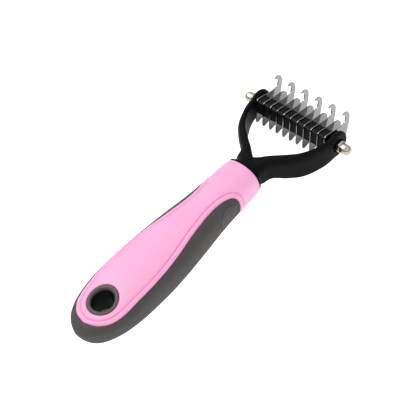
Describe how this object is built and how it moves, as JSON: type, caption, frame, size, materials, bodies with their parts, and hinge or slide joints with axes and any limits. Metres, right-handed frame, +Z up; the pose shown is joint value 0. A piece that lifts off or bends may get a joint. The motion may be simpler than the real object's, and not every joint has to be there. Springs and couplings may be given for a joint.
{
  "type": "undercoat rake",
  "caption": "Pet grooming rake: a pack of thin steel blades with short teeth on one side and long hooks on the other, in a Y fork on a contoured two-colour grip with a hanging hole.",
  "frame": {"origin": "centre of the footprint at the lowest point of the grip's underside, as it lies with the long hooks up", "axes": "+Y along the tool from the butt to the blades (longest extent), +X along the tie rod (the rake is mirror-symmetric across X = 0), +Z up towards the side the long hooks rise on (shortest extent)"},
  "size_m": [0.0716, 0.1821, 0.0244],
  "materials": {
    "black_plastic": "satin black, lightly moulded",
    "spacer_plastic": "satin black",
    "pink_plastic": "smooth, half gloss",
    "grey_rubber": "matte soft grip",
    "blade_steel": "polished stainless plate",
    "rod_steel": "plain round bar",
    "nut_nickel": "bright nickel"
  },
  "bodies": {
    "handle": {"fork_frame": "black_plastic", "grip_shell": "pink_plastic", "grip_sides": "grey_rubber", "eye_ring_top": "grey_rubber", "eye_ring_bottom": "grey_rubber"},
    "blade_head": {"tie_rod": "rod_steel", "blade_01": "blade_steel", "blade_02": "blade_steel", "blade_03": "blade_steel", "blade_04": "blade_steel", "blade_05": "blade_steel", "blade_06": "blade_steel", "blade_07": "blade_steel", "blade_08": "blade_steel", "blade_09": "blade_steel", "blade_10": "blade_steel", "blade_11": "blade_steel", "spacer_01": "spacer_plastic", "spacer_02": "spacer_plastic", "spacer_03": "spacer_plastic", "spacer_04": "spacer_plastic", "spacer_05": "spacer_plastic", "spacer_06": "spacer_plastic", "spacer_07": "spacer_plastic", "spacer_08": "spacer_plastic", "spacer_09": "spacer_plastic", "spacer_10": "spacer_plastic", "end_washer_left": "spacer_plastic", "end_washer_right": "spacer_plastic", "cap_nut_left": "nut_nickel", "cap_nut_right": "nut_nickel"}
  },
  "joints": [
    {"name": "head_swivel", "type": "hinge", "parent": "handle", "child": "blade_head", "pos_m": [0, 0.07525, 0.0112], "axis": [1, 0, 0], "range_deg": [-30, 60]}
  ]
}
